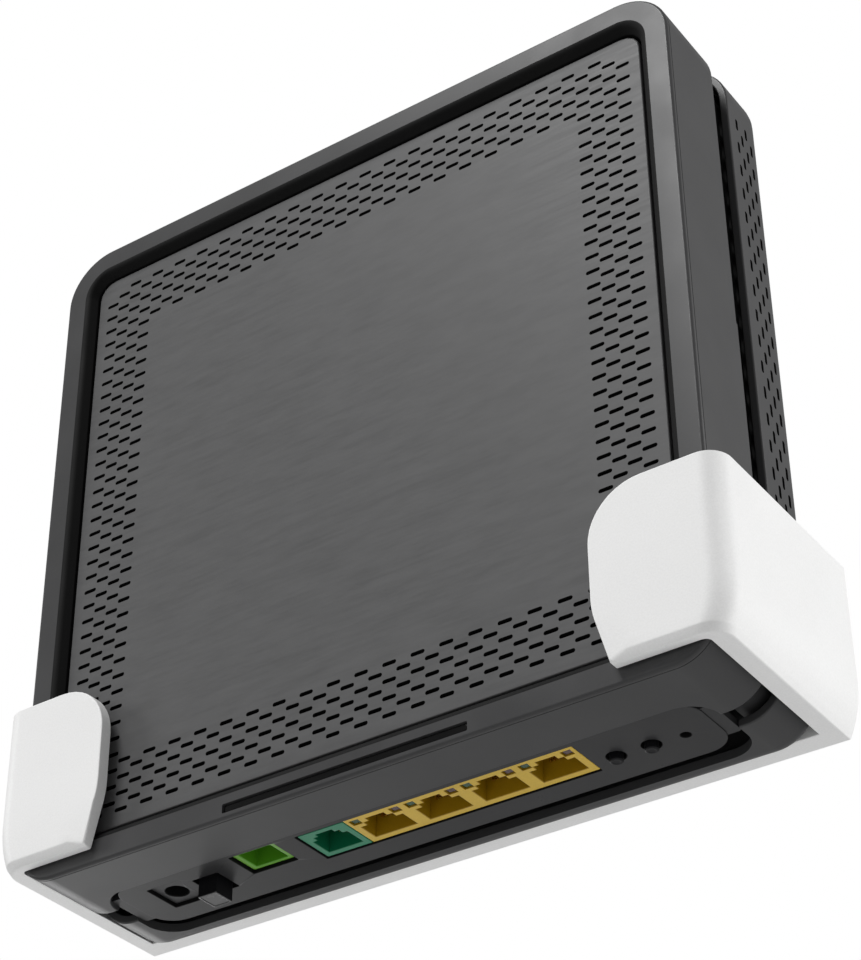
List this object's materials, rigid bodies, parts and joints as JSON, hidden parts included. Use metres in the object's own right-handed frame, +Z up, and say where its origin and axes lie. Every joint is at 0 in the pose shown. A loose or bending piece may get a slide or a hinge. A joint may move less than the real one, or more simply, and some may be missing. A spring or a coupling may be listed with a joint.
{
  "type": "fibre gateway router in a wall cradle",
  "caption": "Square charcoal fibre gateway router with a perforated front and ports on its underside, held upright in a white U-shaped wall cradle.",
  "frame": {"origin": "centre of the cradle's rear face, which lies flat on the wall", "axes": "+X to the right seen from the front, +Y into the wall, +Z up"},
  "size_m": [0.2058, 0.0597, 0.1993],
  "materials": {
    "cradle_plastic": "fine satin white moulding",
    "housing_plastic": "semi-gloss charcoal moulding",
    "panel_plastic": "satin charcoal, finely brushed",
    "black_plastic": "satin black",
    "white_nylon": "satin natural nylon",
    "smoked_lens": "glossy smoked acrylic",
    "clear_plastic": "clear moulded light guide",
    "circuit_board": "green solder mask",
    "yellow_plastic": "satin yellow",
    "teal_plastic": "satin teal green",
    "lime_plastic": "satin lime green",
    "ceramic": "polished zirconia",
    "gold_contact": "gold plating",
    "tinned_shield": "tinned steel",
    "aluminium": "extruded aluminium",
    "thermal_pad": "matte silicone",
    "screw_steel": "zinc-plated steel",
    "label_paper": "blank matt label"
  },
  "bodies": {
    "wall_cradle": {"wall_bracket": "cradle_plastic"},
    "router": {"antenna_lead_left": "black_plastic", "antenna_lead_right": "black_plastic", "antenna_lead_top_left": "black_plastic", "antenna_lead_top_right": "black_plastic", "antenna_left": "circuit_board", "antenna_right": "circuit_board", "antenna_top_left": "circuit_board", "antenna_top_right": "circuit_board", "board_screw_1": "screw_steel", "board_screw_2": "screw_steel", "board_screw_3": "screw_steel", "board_screw_4": "screw_steel", "case_screw_lower_left": "screw_steel", "case_screw_lower_right": "screw_steel", "case_screw_upper_left": "screw_steel", "case_screw_upper_right": "screw_steel", "dc_jack": "black_plastic", "dc_pin": "gold_contact", "ethernet_contacts_1": "gold_contact", "ethernet_contacts_2": "gold_contact", "ethernet_contacts_3": "gold_contact", "ethernet_contacts_4": "gold_contact", "ethernet_jack_block": "yellow_plastic", "ethernet_transformer": "black_plastic", "fiber_adapter": "lime_plastic", "fiber_ferrule": "ceramic", "front_panel": "panel_plastic", "heat_sink": "aluminium", "housing_frame": "housing_plastic", "main_board": "circuit_board", "memory_chip": "black_plastic", "optical_module": "tinned_shield", "phone_contacts": "gold_contact", "phone_jack": "teal_plastic", "port_light_guide_1": "clear_plastic", "port_light_guide_2": "clear_plastic", "port_light_guide_3": "clear_plastic", "port_light_guide_4": "clear_plastic", "port_panel": "housing_plastic", "power_capacitor_1": "black_plastic", "power_capacitor_2": "black_plastic", "power_inductor": "black_plastic", "power_switch": "black_plastic", "processor_chip": "black_plastic", "rating_label": "label_paper", "rear_cover": "housing_plastic", "reset_switch": "black_plastic", "status_led_board": "circuit_board", "status_light_bar": "smoked_lens", "status_light_guide": "clear_plastic", "thermal_pad": "thermal_pad", "wifi_shield_can_left": "tinned_shield", "wifi_shield_can_right": "tinned_shield", "wifi_switch": "black_plastic", "wps_switch": "black_plastic"},
    "power_button": {"power_button": "black_plastic"},
    "wps_button": {"wps_button": "black_plastic"},
    "wifi_button": {"wifi_button": "black_plastic"},
    "reset_plunger": {"reset_plunger": "white_nylon"}
  },
  "joints": [
    {"name": "router_lift", "type": "slide", "parent": "wall_cradle", "child": "router", "axis": [0, 0, 1], "range_m": [0, 0.05]},
    {"name": "power_press", "type": "slide", "parent": "router", "child": "power_button", "axis": [0, 0, 1], "range_m": [0, 0.0028], "stiffness_N_per_m": 600, "springref_m": -0.0015},
    {"name": "wps_press", "type": "slide", "parent": "router", "child": "wps_button", "axis": [0, 0, 1], "range_m": [0, 0.0008], "stiffness_N_per_m": 900, "springref_m": -0.0008},
    {"name": "wifi_press", "type": "slide", "parent": "router", "child": "wifi_button", "axis": [0, 0, 1], "range_m": [0, 0.0008], "stiffness_N_per_m": 900, "springref_m": -0.0008},
    {"name": "reset_press", "type": "slide", "parent": "router", "child": "reset_plunger", "axis": [0, 0, 1], "range_m": [0, 0.00035], "stiffness_N_per_m": 900, "springref_m": -0.0006}
  ]
}
